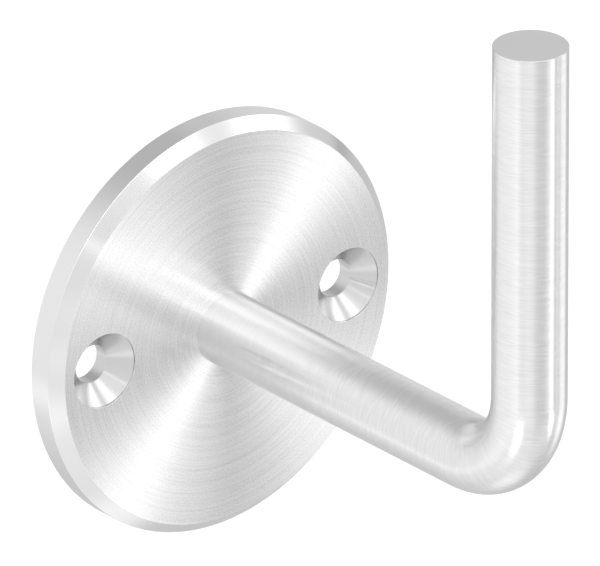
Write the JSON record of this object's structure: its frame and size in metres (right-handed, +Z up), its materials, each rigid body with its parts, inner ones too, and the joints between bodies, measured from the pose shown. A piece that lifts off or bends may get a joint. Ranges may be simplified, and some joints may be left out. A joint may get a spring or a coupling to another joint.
{
  "type": "handrail bracket",
  "caption": "Wall bracket for a handrail: round screw-on plate with a bent round bar that turns up to carry the rail.",
  "frame": {"origin": "centre of the plate's back face, where it meets the wall", "axes": "+Y into the wall, -Y out into the room along the bar's level length, +Z up along the bar's upright"},
  "size_m": [0.07, 0.086, 0.11],
  "materials": {
    "plate_steel": "brushed in circles round the middle",
    "bar_steel": "ground across the bar, satin",
    "weld_steel": "as welded, cleaned"
  },
  "bodies": {
    "root": {"wall_plate": "plate_steel", "bent_bar": "bar_steel", "back_weld": "weld_steel"}
  },
  "joints": []
}
